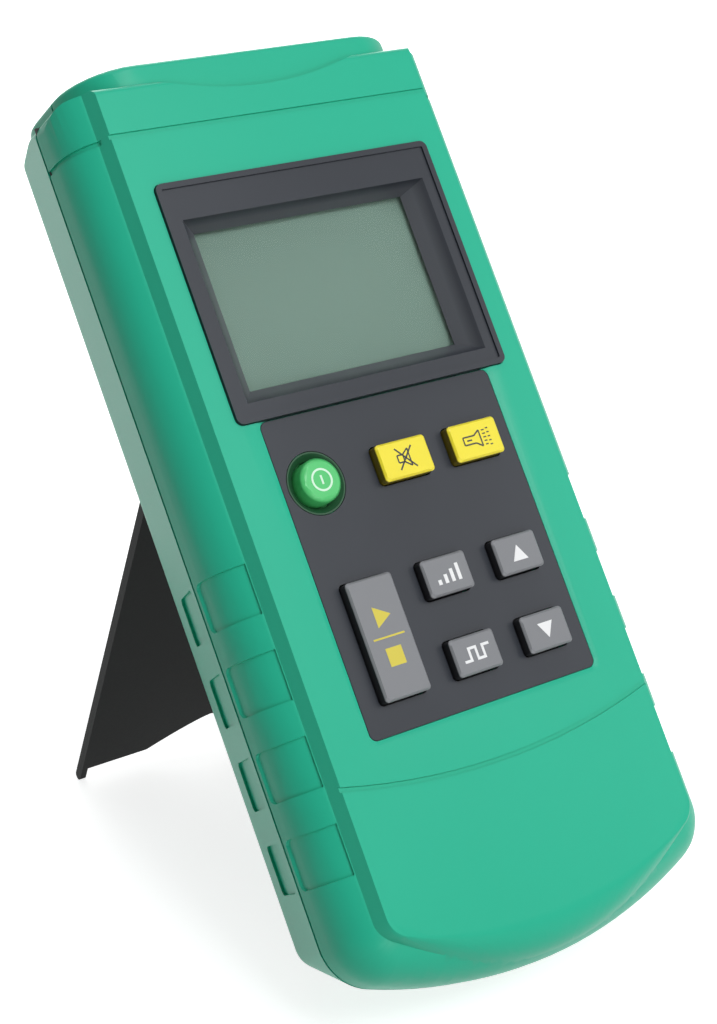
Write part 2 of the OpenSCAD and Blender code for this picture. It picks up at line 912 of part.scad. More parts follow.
module up_key() { color([0.43, 0.43, 0.46]) rect_key(UP); }
module code_key() { color([0.43, 0.43, 0.46]) rect_key(CODE); }
module down_key() { color([0.43, 0.43, 0.46]) rect_key(DOWN); }
module start_stop_key() { color([0.43, 0.43, 0.46]) rect_key(START); }

// Electronics
module main_circuit_board() {
    color([0.1, 0.35, 0.2])
    stance()
    difference() {
        plate(board_y, board_y + board_t)
            translate([0, (board_z + board_top) / 2])
                rounded_rect(board_w, board_top - board_z, 2);
        for (s = BOARD_SCREWS)
            bar(s[0], s[1], board_screw_r + 0.2, 0, body_d);
    }
}

chip_w = 12;
chip_t = 1.6;
chip_drop = 18;
chip_top = board_top - chip_drop;
port_w = 16;
port_l = 6;
port_rise = 4;
port_z = board_z + port_rise;
can_r = 3;
can_l = 5;
can_pitch = 9;
can_inset = 8;
can_rise = 60;
can_z = board_z + can_rise;
module board_components() {
    color([0.15, 0.15, 0.16])
    stance() {
        back = board_y + board_t;
        for (x = [-1.5 * chip_w, 0.5 * chip_w])
            block(x, x + chip_w, back, back + chip_t, chip_top - chip_w, chip_top);
        block(-port_w / 2, port_w / 2, back, back + chip_t, port_z, port_z + port_l);
        for (i = [0:2])
            bar(can_inset - board_w / 2, can_z + can_pitch * i, can_r, back, back + can_l);
    }
}

coil_w = 18;
coil_l = 20;
core_t = 13;
core_step = 3;
transformer_rise = 66;
transformer_z = board_z + transformer_rise;
module output_transformer() {
    color([0.7, 0.6, 0.2])
    stance() {
        back = board_y + board_t;
        core_half = coil_w / 2 - core_step;
        top_z = transformer_z + coil_l;
        block(-core_half, core_half, back, back + core_t, transformer_z, top_z);
        block(
            -coil_w / 2, coil_w / 2, back + core_step, back + core_t - core_step,
            transformer_z + core_step, top_z - core_step
        );
    }
}

buzzer_r = 6;
buzzer_t = 5.5;
buzzer_hole_r = 1;
buzzer_x = board_w / 2 - 2 * buzzer_r;
buzzer_rise = 76;
buzzer_z = board_z + buzzer_rise;
module buzzer() {
    color([0.1, 0.1, 0.1])
    stance()
    difference() {
        back = board_y + board_t;
        bar(buzzer_x, buzzer_z, buzzer_r, back, back + buzzer_t);
        bar(buzzer_x, buzzer_z, buzzer_hole_r, back + buzzer_t - slip, body_d);
    }
}

module board_screws() {
    color("silver")
    stance()
    for (s = BOARD_SCREWS) {
        bar(s[0], s[1], board_screw_r, inner_y + 1, board_y + board_t);
        bar(s[0], s[1], 2 * board_screw_r, board_y + board_t, board_y + board_t + 1.2);
    }
}

// Battery with its snap, leads and door
module studs(grow) {
    for (side = [-1, 1])
        upright(
            side * stud_pitch / 2, cell_middle_y, stud_r + grow,
            cell_top - grow, cell_top + stud_l + grow, 32
        );
}

module battery() {
    color([0.2, 0.2, 0.25])
    stance() {
        block(-cell_w / 2, cell_w / 2, cell_front, cell_back, cell_foot, cell_top);
        studs(0);
    }
}

module battery_snap() {
    margin = 2;
    color([0.08, 0.08, 0.08])
    stance()
    difference() {
        block(
            margin / 2 - cell_w / 2, cell_w / 2 - margin / 2,
            cell_front + margin, cell_back - margin,
            cell_top + fit_gap, snap_top
        );
        studs(stud_gap);
    }
}

// A round wire from point to point, with ball joints at its bends
module wire(points) {
    for (i = [0:len(points) - 2]) {
        run = points[i + 1] - points[i];
        length = norm(run);
        translate(points[i])
            rotate([0, acos(run[2] / length), atan2(run[1], run[0])])
                cylinder(r = wire_r, h = length, $fn = 16);
    }
    for (i = [1:1:len(points) - 2])
        translate(points[i])
            sphere(r = wire_r * 1.02, $fn = 16);
}

module battery_leads() {
    color([0.7, 0.1, 0.1])
    stance() {
        bend_z = box_top + box_wall + 2 * wire_r;
        for (side = [-1, 1]) {
            x = lead_x + side * lead_half;
            wire([
                [x, lead_y, snap_top],
                [x, lead_y, bend_z],
                [x, board_y + board_t, bend_z]
            ]);
        }
    }
}

door_rib_half = 12;
door_rib_w = 1;
door_rib_pitch = 2.2;
door_rib_h = 0.25;
module battery_door() {
    color("seagreen")
    stance()
    difference() {
        union() {
            plate(door_y, recess_floor_y)
                translate([0, (door_bottom + door_top) / 2])
                    rounded_rect(2 * door_half - fit_gap, door_top - door_bottom - fit_gap, 0.8);
            // Finger ribs
            for (i = [0:3])
                translate([0, 0, door_bottom + 5 + door_rib_pitch * i])
                    block(
                        -door_rib_half, door_rib_half,
                        recess_floor_y - slip, recess_floor_y + door_rib_h, 0, door_rib_w
                    );
        }
        bar(0, door_screw_z, screw_r + fit_gap, 0, body_d);
        bar(0, door_screw_z, screw_head_r + fit_gap, recess_floor_y - door_head_t, body_d);
    }
}

module screw(x, z, seat_y, end_y, head_t) {
    difference() {
        union() {
            bar(x, z, screw_r, end_y, seat_y);
            bar(x, z, screw_head_r, seat_y, seat_y + head_t);
        }
        for (turn = [0, 90])
            translate([x, seat_y + head_t - 0.7, z])
                rotate([0, turn, 0])
                    translate([-1.8, 0, -0.35])
                        cube([3.6, slip, 0.7]);
    }
}

module battery_door_screw() {
    color("silver")
    stance()
    screw(0, door_screw_z, recess_floor_y - door_head_t, door_screw_end, door_head_t);
}

module case_screws() {
    color("silver")
    stance()
    for (s = CASE_SCREWS)
        screw(s[0], s[1], screw_seat_y, screw_end_y, screw_head_t);
}

module screw_plugs() {
    color([0.1, 0.1, 0.1])
    stance()
    for (s = CASE_SCREWS) {
        outside = s[1] < recess_top ? recess_floor_y : body_d - 0.4;
        bar(s[0], s[1], plug_r, outside - plug_t, outside);
    }
}

// Lead sockets and torch in the end block
module socket_sleeve(x) {
    difference() {
        union() {
            upright(x, socket_y, sleeve_r, sleeve_foot, body_l - flange_t);
            upright(x, socket_y, flange_r, body_l - flange_t, body_l);
        }
        upright(x, socket_y, shroud_r, contact_foot + shroud_floor, body_l + slip);
        upright(x, socket_y, contact_r + seat_gap, contact_foot, body_l);
        upright(x, socket_y, tail_r + seat_gap, sleeve_foot - slip, body_l);
    }
}

module socket_contact(x) {
    difference() {
        union() {
            upright(x, socket_y, contact_r, contact_foot, contact_mouth);
            upright(x, socket_y, tail_r, sleeve_foot - tail_l, contact_foot);
        }
        upright(x, socket_y, bore_r, contact_mouth - bore_l, contact_mouth + slip);
    }
}

module red_socket_sleeve() { color([0.75, 0.1, 0.1]) stance() socket_sleeve(SOCKET_X[1]); }
module black_socket_sleeve() { color([0.08, 0.08, 0.08]) stance() socket_sleeve(SOCKET_X[0]); }
module red_socket_contact() { color([0.8, 0.65, 0.3]) stance() socket_contact(SOCKET_X[1]); }
module black_socket_contact() { color([0.8, 0.65, 0.3]) stance() socket_contact(SOCKET_X[0]); }

module socket_leads() {
    color([0.1, 0.1, 0.1])
    stance()
    for (x = SOCKET_X)
        wire([
            [x, socket_y, sleeve_foot - tail_l],
            [x, socket_y, socket_joint_z],
            [x, board_y + board_t, socket_joint_z]
        ]);
}

module torch_lens() {
    color([0.85, 0.9, 0.95, 0.5])
    stance()
    upright(torch_x, socket_y, torch_r, body_l - lens_t, body_l);
}

module torch_led() {
    color([0.95, 0.95, 0.9])
    stance() {
        upright(torch_x, socket_y, led_r, led_top - led_l, led_top - led_r);
        translate([torch_x, socket_y, led_top - led_r])
            sphere(r = led_r, $fn = 48);
    }
}

module torch_leads() {
    color([0.1, 0.1, 0.1])
    stance()
    for (side = [-1, 1]) {
        leg_x = torch_x + side * led_pitch / 2;
        // Both bend inwards above the case screw's column, one below the other
        bend_z = led_top - led_l - bend_drop - side * bend_step;
        run_x = torch_run_x + side * led_pitch / 2;
        wire([
            [leg_x, socket_y, led_top - led_l],
            [leg_x, socket_y, bend_z],
            [run_x, socket_y, bend_z],
            [run_x, socket_y, torch_joint_z],
            [run_x, board_y + board_t, torch_joint_z]
        ]);
    }
}

// Stand, drawn closed in the hinge's own frame: x across, y out of the back
// and z up from the pin, then turned to its opening angle
module arch_outline() {
    steps = 8;
    crest = 1.3; // how soon the arch's straight sides bend over to its top
    polygon(concat(
        [[arch_w / 2, -slip], [-arch_w / 2, -slip]],
        [
            for (i = [-steps:steps])
                [i / steps * arch_w / 2, arch_h * (1 - pow(abs(i) / steps, crest))]
        ]
    ));
}

module stand() {
    inner = stand_inner_y - hinge_y;
    outer = stand_outer_y - hinge_y;
    plate_foot = foot_drop - stand_l;
    color([0.09, 0.09, 0.1])
    stance()
    translate([0, hinge_y, hinge_z])
    rotate([stand_open, 0, 0])
    difference() {
        union() {
            // Plate, with an arch between its feet
            translate([0, outer, 0])
                rotate([90, 0, 0])
                    linear_extrude(stand_t)
                        difference() {
                            translate([-stand_w / 2, plate_foot])
                                square([stand_w, heel_l - plate_foot]);
                            translate([0, plate_foot])
                                arch_outline();
                        }
            // Round-ended feet at its lower corners
            for (side = [-1, 1])
                translate([side * (stand_w - foot_w) / 2, outer - foot_r, -stand_l]) {
                    translate([-foot_w / 2, -foot_r, 0])
                        cube([foot_w, stand_t, foot_drop + slip]);
                    rotate([0, 90, 0])
                        cylinder(r = foot_r, h = foot_w, center = true, $fn = 48);
                }
            rotate([0, 90, 0])
                cylinder(r = barrel_r, h = stand_w, center = true, $fn = 48);
        }
        rotate([0, 90, 0])
            cylinder(r = pin_r + running_gap, h = stand_w + slip, center = true, $fn = 48);
    }
}

module stand_hinge_pin() {
    color("silver")
    stance()
    crossbar(hinge_y, hinge_z, pin_r, 2 * pin_end);
}

front_shell();
rear_shell();
case_gasket();
display_frame();
display_window();
lcd_glass();
lcd_backlight();
keypad_plate();
power_key_ring();
keypad_mat();
power_key();
mute_key();
torch_key();
level_key();
up_key();
code_key();
down_key();
start_stop_key();
main_circuit_board();
board_components();
output_transformer();
buzzer();
board_screws();
battery();
battery_snap();
battery_leads();
battery_door();
battery_door_screw();
case_screws();
screw_plugs();
red_socket_sleeve();
red_socket_contact();
black_socket_sleeve();
black_socket_contact();
socket_leads();
torch_lens();
torch_led();
torch_leads();
stand();
stand_hinge_pin();
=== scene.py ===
# %% [markdown]
# # Cable locator transmitter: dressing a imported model
# The housing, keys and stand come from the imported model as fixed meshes. This
# script gives them their finishes, adds the printed marks on the keys, and
# sets up the light and the camera. Everything is in metres.

# %% Load the frame
import json
import math

import bmesh
import bpy
from mathutils import Matrix, Vector


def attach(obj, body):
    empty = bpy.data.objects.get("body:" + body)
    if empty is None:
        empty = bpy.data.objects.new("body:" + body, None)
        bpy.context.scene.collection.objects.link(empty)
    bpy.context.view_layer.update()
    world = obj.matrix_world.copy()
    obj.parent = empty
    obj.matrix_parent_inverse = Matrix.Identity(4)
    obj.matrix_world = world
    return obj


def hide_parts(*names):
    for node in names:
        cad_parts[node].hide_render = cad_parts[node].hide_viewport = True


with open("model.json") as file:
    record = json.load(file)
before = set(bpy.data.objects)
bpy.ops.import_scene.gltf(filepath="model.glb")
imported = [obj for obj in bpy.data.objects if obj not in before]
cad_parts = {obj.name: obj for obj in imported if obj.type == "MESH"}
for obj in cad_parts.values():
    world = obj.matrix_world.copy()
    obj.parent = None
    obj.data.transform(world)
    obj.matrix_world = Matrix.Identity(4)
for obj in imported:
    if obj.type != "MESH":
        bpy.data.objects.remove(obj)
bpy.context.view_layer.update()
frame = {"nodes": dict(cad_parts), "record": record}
nodes = frame["nodes"]
record = frame["record"]

# %% [markdown]
# ## The housing's own frame
# The unit leans back on its stand, so a point on its face is easier to state
# in the housing's own directions: x to the right, y into the housing and z
# along it. The record already holds these directions: a key travels along y,
# and a lead socket points along z. Reading them there means that nothing here
# has to be changed if the lean changes. The origin lies on the face's plane, in
# the middle of the housing's lower end, and the record's point on the back
# face, whose place is known, leads to it.

# %% Directions and origin of the housing
MM = 0.001
BODY_DEPTH = 42.5 * MM
BACK_FACE_Z = 150 * MM
joints = {j["name"]: j for j in record["behaviour"]["joints"]}
mounts = {m["name"]: m for m in record["mounts"]}
INTO = Vector(joints["mute_key_press"]["axis"]).normalized()
ALONG = Vector(mounts["red_lead_socket"]["axis"]).normalized()
ACROSS = INTO.cross(ALONG).normalized()
ORIGIN = Vector(mounts["back_face"]["pos_m"]) - INTO * BODY_DEPTH - ALONG * BACK_FACE_Z
HOUSING = Matrix((ACROSS, INTO, ALONG)).transposed().to_4x4()
HOUSING.translation = ORIGIN
print("lean:", round(math.degrees(math.acos(ALONG.z)), 2), "degrees")


def at(x, y, z):
    """A point in the housing's frame, in millimetres, as a point in the scene."""
    return HOUSING @ Vector((x * MM, y * MM, z * MM))


# %% [markdown]
# ## The camera
# The camera was fitted to the edges of the face in the photograph: it stands
# to the left of the unit, a little above the middle of its face. Its place and
# its three directions are given in the housing's frame, so the view of the
# face stays the same whatever the lean. The fit gives the focal length in
# pixels of a picture 1024 pixels high, and the sensor's width turns that into
# the millimetres that Blender asks for.

# %% Camera
EYE = (-234.52, -345.72, 43.48)
RIGHT = Vector((0.81435635, -0.47294037, -0.33637947))
DOWN = Vector((-0.22504701, 0.27691949, -0.93416778))
AHEAD = Vector((0.53495568, 0.83644666, 0.11907732))
SENSOR_MM = 36
FOCAL_PIXELS, PICTURE_PIXELS = 2150.63, 1024
NEAREST, FARTHEST = 0.01, 20
camera_data = bpy.data.cameras.new("camera")
camera_data.sensor_width = SENSOR_MM
camera_data.lens = FOCAL_PIXELS / PICTURE_PIXELS * SENSOR_MM
camera_data.clip_start, camera_data.clip_end = NEAREST, FARTHEST
camera = bpy.data.objects.new("camera", camera_data)
bpy.context.scene.collection.objects.link(camera)
turn = HOUSING.to_3x3()
look = Matrix((turn @ RIGHT, turn @ -DOWN, turn @ -AHEAD)).transposed().to_4x4()
look.translation = at(*EYE)
camera.matrix_world = look
bpy.context.scene.camera = camera
print("lens:", round(camera_data.lens, 1), "mm")

# %% [markdown]
# ## Soft lamps
# A product photograph like this one has a large soft lamp on the face and
# little light on the side. Each lamp is an area lamp, because a large area
# gives soft edges to the shadows and the long soft gloss that satin plastic
# shows. The face lamp stands well off the face's mirror direction to the
# camera, so that the dark plates stay dark, and a weak gleam lamp near that
# direction gives them their faint sheen. The low lamp fills the lower end, and
# the top, back and side lamps serve the views from those sides.

# %% Lamps
MIDDLE = Vector((0, 0, 0.085))
LAMPS = {
    # name: place, width, watts and tint
    "face_lamp": ((0.12, -0.78, 1.02), 0.7, 9.6, (0.96, 0.98, 1.0)),
    "low_lamp": ((-0.1, -1.2, 0.02), 0.6, 5.5, (1, 1, 1)),
    "gleam_lamp": ((0.95, -0.75, 0.65), 0.5, 1.6, (1, 1, 1)),
    "top_lamp": ((0.1, 0.3, 1.2), 0.7, 2, (1, 1, 1)),
    "back_lamp": ((0.45, 1.1, 0.6), 0.8, 7, (1, 1, 1)),
    "side_lamp": ((-1.1, 0.3, 0.2), 0.6, 0.12, (1, 1, 1)),
}


def soft_lamp(name, place, target, size, watts, tint):
    """A square area lamp that faces a point."""
    data = bpy.data.lights.new(name, "AREA")
    data.size, data.energy, data.color = size, watts, tint
    lamp = bpy.data.objects.new(name, data)
    bpy.context.scene.collection.objects.link(lamp)
    lamp.location = place
    aim = Vector(target) - Vector(place)
    lamp.rotation_euler = aim.to_track_quat("-Z", "Y").to_euler()


for name, (place, size, watts, tint) in LAMPS.items():
    soft_lamp(name, place, MIDDLE, size, watts, tint)

# %% [markdown]
# ## A white ground
# The ground is white by its own colour, and not by more light on the object.
# Light Path tells the rays apart: camera rays, and the mirror and see-through
# rays that show the ground in gloss and glass, meet a white world, and all
# other rays meet a dim one. The export can't read Light Path inside a node
# group, so plain helpers add these nodes to the tree that needs them.

# %% Helpers for shader trees


def maths(tree, operation, a, b):
    """A Math node; each operand is a number or a socket."""
    node = tree.nodes.new("ShaderNodeMath")
    node.operation = operation
    for socket, value in zip(node.inputs, (a, b)):
        if isinstance(value, (int, float)):
            socket.default_value = value
        else:
            tree.links.new(value, socket)
    return node.outputs[0]


def shown_rays(tree):
    """1 for rays that show the ground as a picture: camera, mirror and see-through rays."""
    ray = tree.nodes.new("ShaderNodeLightPath")
    total = ray.outputs["Is Camera Ray"]
    for kind in ("Is Glossy Ray", "Is Transmission Ray"):
        total = maths(tree, "MAXIMUM", total, ray.outputs[kind])
    return total


def mix_shaders(tree, factor, first, second):
    """The first shader where the factor is 0, and the second where it is 1."""
    node = tree.nodes.new("ShaderNodeMixShader")
    for socket, source in zip(node.inputs, (factor, first, second)):
        tree.links.new(source, socket)
    return node.outputs["Shader"]


print("tree helpers:", maths.__name__, shown_rays.__name__, mix_shaders.__name__)

# %% World
WHITE = (1, 1, 1, 1)
FILL_STRENGTH, WHITE_STRENGTH = 0.13, 1.0
world = bpy.data.worlds.new("studio")
bpy.context.scene.world = world
world.use_nodes = True
sky = world.node_tree
fill = sky.nodes["Background"]
white = sky.nodes.new("ShaderNodeBackground")
for background, strength in ((fill, FILL_STRENGTH), (white, WHITE_STRENGTH)):
    background.inputs["Color"].default_value = WHITE
    background.inputs["Strength"].default_value = strength
backdrop = mix_shaders(
    sky, shown_rays(sky), fill.outputs["Background"], white.outputs["Background"])
sky.links.new(backdrop, sky.nodes["World Output"].inputs["Surface"])
print("world strengths:", FILL_STRENGTH, WHITE_STRENGTH)

# %% [markdown]
# ## The floor
# The floor is pale paper, which takes the unit's shadow. For the same rays as
# above it also glows, so that the lit paper turns white and only the shadow
# stays grey. The glow is a little weaker near the unit, where the shadow falls,
# and rises with distance until floor and world are equally white, so no
# horizon shows. Seen from below the floor is clear, which leaves the
# underside open to view.

# %% Floor
FLOOR_REACH = 4
floor_mesh = bpy.data.meshes.new("floor")
bm = bmesh.new()
bmesh.ops.create_grid(bm, x_segments=1, y_segments=1, size=FLOOR_REACH)
bm.to_mesh(floor_mesh)
bm.free()
floor = bpy.data.objects.new("floor", floor_mesh)
bpy.context.scene.collection.objects.link(floor)
print("floor reaches", FLOOR_REACH, "m to each side")

# %% Paper
PAPER_SHADE, PAPER_ROUGHNESS, PAPER_GLOSS = 0.62, 0.9, 0.1
FADE_NEAR, FADE_FAR = 0.2, 0.9
GLOW_NEAR, GLOW_FAR = 0.8, 1.0


def new_material(name):
    """A material with its node tree, its shader and its output."""
    material = bpy.data.materials.new(name)
    material.use_nodes = True
    tree = material.node_tree
    return material, tree, tree.nodes["Principled BSDF"], tree.nodes["Material Output"]


paper, tree, shader, output = new_material("white_paper")
shader.inputs["Base Color"].default_value = (PAPER_SHADE, PAPER_SHADE, PAPER_SHADE, 1)
shader.inputs["Roughness"].default_value = PAPER_ROUGHNESS
shader.inputs["Specular IOR Level"].default_value = PAPER_GLOSS
distance = tree.nodes.new("ShaderNodeVectorMath")
distance.operation = "LENGTH"
coords = tree.nodes.new("ShaderNodeTexCoord").outputs["Object"]
tree.links.new(coords, distance.inputs[0])
fade = tree.nodes.new("ShaderNodeMapRange")
fade.inputs["From Min"].default_value = FADE_NEAR
fade.inputs["From Max"].default_value = FADE_FAR
fade.inputs["To Min"].default_value = GLOW_NEAR
fade.inputs["To Max"].default_value = GLOW_FAR
tree.links.new(distance.outputs["Value"], fade.inputs["Value"])
glow = tree.nodes.new("ShaderNodeEmission")
tree.links.new(fade.outputs["Result"], glow.inputs["Strength"])
glowing = tree.nodes.new("ShaderNodeAddShader")
tree.links.new(shader.outputs["BSDF"], glowing.inputs[0])
tree.links.new(glow.outputs["Emission"], glowing.inputs[1])
upper_side = mix_shaders(
    tree, shown_rays(tree), shader.outputs["BSDF"], glowing.outputs["Shader"])
clear_air = tree.nodes.new("ShaderNodeBsdfTransparent").outputs["BSDF"]
from_below = tree.nodes.new("ShaderNodeNewGeometry").outputs["Backfacing"]
surface = mix_shaders(tree, from_below, upper_side, clear_air)
tree.links.new(surface, output.inputs["Surface"])
floor_mesh.materials.append(paper)
print("paper glows from", GLOW_NEAR, "to", GLOW_FAR)

# %% [markdown]
# ## Shared effects
# Moulded plastic is never one flat colour: the tool's spark-eroded surface
# gives it a fine grain, and the resin varies a little in shade over the part.
# Walls that stand in a narrow gap also get painted shade, darker further down,
# where the gap is deeper. Each of these three effects is used by more than one
# finish, so each is one node group with its own inputs. The patterns read
# Object coordinates, because every piece of this model sits at the origin with
# its place in its mesh.

# %% Helpers for node groups


def new_group(name, sockets_in, sockets_out):
    """A shader node group with named float inputs and float outputs."""
    group = bpy.data.node_groups.new(name, "ShaderNodeTree")
    for label, default in sockets_in:
        socket = group.interface.new_socket(
            label, in_out="INPUT", socket_type="NodeSocketFloat")
        socket.default_value = default
    for label in sockets_out:
        group.interface.new_socket(label, in_out="OUTPUT", socket_type="NodeSocketFloat")
    return group, group.nodes.new("NodeGroupInput"), group.nodes.new("NodeGroupOutput")


def noise(tree, scale, coords, detail, roughness):
    """A Noise texture on the given coordinates, whose scale comes from a socket."""
    node = tree.nodes.new("ShaderNodeTexNoise")
    node.inputs["Detail"].default_value = detail
    node.inputs["Roughness"].default_value = roughness
    tree.links.new(scale, node.inputs["Scale"])
    tree.links.new(coords, node.inputs["Vector"])
    return node.outputs["Fac"]


print("group helpers:", new_group.__name__, noise.__name__)

# %% [markdown]
# ## Grain
# A moulded surface has fine pits with slower waves between them. Two noises
# make it, the second at about a third of the first one's count. Their sum is
# the height for a bump, and the fine noise turned over is a mask that is high
# in the hollows, where the plastic is duller.

# %% Grain group
COARSE_SHARE, GRAIN_LEVEL = 0.35, 0.7
grain_group, gin, gout = new_group(
    "moulded_grain", [("Grains per metre", 2500), ("Softness", 0.5)], ["Height", "Hollows"])
coords = grain_group.nodes.new("ShaderNodeTexCoord").outputs["Object"]
fine_scale = gin.outputs["Grains per metre"]
fine = noise(grain_group, fine_scale, coords, detail=3, roughness=0.6)
coarse_scale = maths(grain_group, "MULTIPLY", fine_scale, COARSE_SHARE)
coarse = noise(grain_group, coarse_scale, coords, detail=2, roughness=0.5)
softened = maths(grain_group, "MULTIPLY", coarse, gin.outputs["Softness"])
mixed = maths(grain_group, "ADD", fine, softened)
height = maths(grain_group, "MULTIPLY", mixed, GRAIN_LEVEL)
grain_group.links.new(height, gout.inputs["Height"])
grain_group.links.new(maths(grain_group, "SUBTRACT", 1.0, fine), gout.inputs["Hollows"])
print("grain inputs:", [label.name for label in gin.outputs if label.name])

# %% [markdown]
# ## Drift
# The shade of a moulding changes slowly from place to place. One wide noise
# makes a mask round the value of a half, and its contrast says how far the
# mask strays from there.

# %% Drift group
EVEN = 0.5
drift_group, din, dout = new_group(
    "shade_drift", [("Patches per metre", 14), ("Contrast", 1.0)], ["Mask"])
coords = drift_group.nodes.new("ShaderNodeTexCoord").outputs["Object"]
slow = noise(drift_group, din.outputs["Patches per metre"], coords, detail=3, roughness=0.55)
centred = maths(drift_group, "SUBTRACT", slow, EVEN)
stretched = maths(drift_group, "MULTIPLY", centred, din.outputs["Contrast"])
drift_group.links.new(maths(drift_group, "ADD", stretched, EVEN), dout.inputs["Mask"])
print("drift inputs:", [label.name for label in din.outputs if label.name])

# %% [markdown]
# ## Depth below the face
# This mask rises from 0 to 1 between two depths, in millimetres below the
# face's plane; what stands proud of it has a depth below zero. The housing
# leans, so the depth is the part of a point's place that lies along the
# direction into the housing.

# %% Depth group
depth_group, pin, pout = new_group("depth_below_face", [("Start", 0.0), ("End", 1.0)], ["Mask"])
coords = depth_group.nodes.new("ShaderNodeTexCoord").outputs["Object"]
inward = depth_group.nodes.new("ShaderNodeVectorMath")
inward.operation = "DOT_PRODUCT"
inward.inputs[1].default_value = INTO
depth_group.links.new(coords, inward.inputs[0])
depth_m = maths(depth_group, "SUBTRACT", inward.outputs["Value"], ORIGIN.dot(INTO))
depth_mm = maths(depth_group, "MULTIPLY", depth_m, 1000)
rise = depth_group.nodes.new("ShaderNodeMapRange")
depth_group.links.new(depth_mm, rise.inputs["Value"])
depth_group.links.new(pin.outputs["Start"], rise.inputs["From Min"])
depth_group.links.new(pin.outputs["End"], rise.inputs["From Max"])
depth_group.links.new(rise.outputs["Result"], pout.inputs["Mask"])
print("groups:", [g.name for g in bpy.data.node_groups])

# %% [markdown]
# ## A finish for each plastic
# Every plastic on this unit is a Principled shader with two of the shared
# effects: the drift moves its colour a little, and the grain gives it a bump
# and a spread of roughness. Only the numbers differ, so one helper builds them
# all, and the numbers sit in one table where they can be compared.

# %% Numbers of the plastics
PLASTICS = {
    # slot: colour, the shade it drifts to, roughness and its spread, grains per
    # metre, strength of the bump, and where it isn't 0.5 the level of gloss
    "green_plastic": ((0.012, 0.41, 0.25), (0.016, 0.45, 0.28), 0.38, 0.06, 3200, 0.35, 0.28),
    "dark_plastic": (
        (0.014, 0.017, 0.023), (0.042, 0.047, 0.058), 0.34, 0.05, 4200, 0.2, 0.28),
    "grey_key_plastic": ((0.17, 0.175, 0.185), (0.20, 0.205, 0.22), 0.42, 0.05, 3800, 0.3),
    "yellow_key_plastic": ((0.84, 0.70, 0.022), (0.88, 0.76, 0.03), 0.38, 0.05, 3800, 0.25),
    "green_key_plastic": ((0.06, 0.50, 0.13), (0.08, 0.58, 0.17), 0.3, 0.04, 3800, 0.2),
    "black_plastic": (
        (0.005, 0.006, 0.006), (0.009, 0.010, 0.010), 0.5, 0.08, 2600, 0.6, 0.12),
    "red_plastic": ((0.45, 0.012, 0.010), (0.5, 0.018, 0.014), 0.32, 0.05, 3600, 0.25),
    "silicone": ((0.52, 0.52, 0.47), (0.6, 0.6, 0.55), 0.6, 0.05, 2000, 0.3),
    "gasket_rubber": ((0.006, 0.006, 0.006), (0.01, 0.01, 0.01), 0.7, 0.08, 1800, 0.5),
    "light_guide": ((0.7, 0.72, 0.68), (0.78, 0.8, 0.75), 0.5, 0.05, 1500, 0.2),
    "board_laminate": ((0.012, 0.11, 0.045), (0.02, 0.15, 0.06), 0.3, 0.06, 1200, 0.4),
    "component_plastic": ((0.016, 0.016, 0.018), (0.024, 0.024, 0.026), 0.5, 0.08, 2800, 0.4),
    "wire_insulation": ((0.02, 0.02, 0.022), (0.03, 0.03, 0.032), 0.4, 0.05, 1800, 0.2),
    "battery_can": ((0.03, 0.03, 0.04), (0.045, 0.045, 0.06), 0.25, 0.05, 1500, 0.15),
    "core_steel": ((0.26, 0.19, 0.04), (0.34, 0.26, 0.07), 0.4, 0.1, 900, 0.5),
}
print("plastics in the table:", len(PLASTICS))

# %% Plastic finishes
GRAIN_DEPTH = 0.00004


def plastic(name, colour, shade, rough, spread, grains, bump, gloss=0.5):
    """Moulded plastic: colour drifts to shade, and grain breaks up the gloss."""
    material, tree, shader, _ = new_material(name)
    grain = tree.nodes.new("ShaderNodeGroup")
    grain.node_tree = grain_group
    grain.inputs["Grains per metre"].default_value = grains
    drift = tree.nodes.new("ShaderNodeGroup")
    drift.node_tree = drift_group
    blend = tree.nodes.new("ShaderNodeMix")
    blend.data_type = "RGBA"
    blend.inputs["A"].default_value = (*colour, 1)
    blend.inputs["B"].default_value = (*shade, 1)
    tree.links.new(drift.outputs["Mask"], blend.inputs["Factor"])
    tree.links.new(blend.outputs["Result"], shader.inputs["Base Color"])
    dulling = tree.nodes.new("ShaderNodeMapRange")
    dulling.inputs["To Min"].default_value = rough - spread
    dulling.inputs["To Max"].default_value = rough + spread
    tree.links.new(grain.outputs["Hollows"], dulling.inputs["Value"])
    tree.links.new(dulling.outputs["Result"], shader.inputs["Roughness"])
    relief = tree.nodes.new("ShaderNodeBump")
    relief.inputs["Strength"].default_value = bump
    relief.inputs["Distance"].default_value = GRAIN_DEPTH
    tree.links.new(grain.outputs["Height"], relief.inputs["Height"])
    tree.links.new(relief.outputs["Normal"], shader.inputs["Normal"])
    shader.inputs["Specular IOR Level"].default_value = gloss
    return material


FINISHES = {slot: plastic(slot, *numbers) for slot, numbers in PLASTICS.items()}
print("plastic finishes:", len(FINISHES))

# %% [markdown]
# ## Metals, window and display
# The contacts and screws are plated metal, whose turning marks are too fine to
# draw one by one: a finer grain with a wide spread of gloss stands for them.
# The window and the torch's lens are clear. The window gets a low index, since
# a stronger reflection of the white ground would veil the display. The display
# glass behind it is a dull grey-green with hardly any gloss of its own, as an
# unlit liquid crystal has.

# %% Metal and clear finishes
WINDOW_IOR, LENS_IOR = 1.12, 1.4


def metal(name, colour, shade, rough):
    """Plated metal: a fine grain with a wide spread of gloss."""
    material = plastic(name, colour, shade, rough, spread=0.1, grains=5200, bump=0.35)
    material.node_tree.nodes["Principled BSDF"].inputs["Metallic"].default_value = 1
    return material


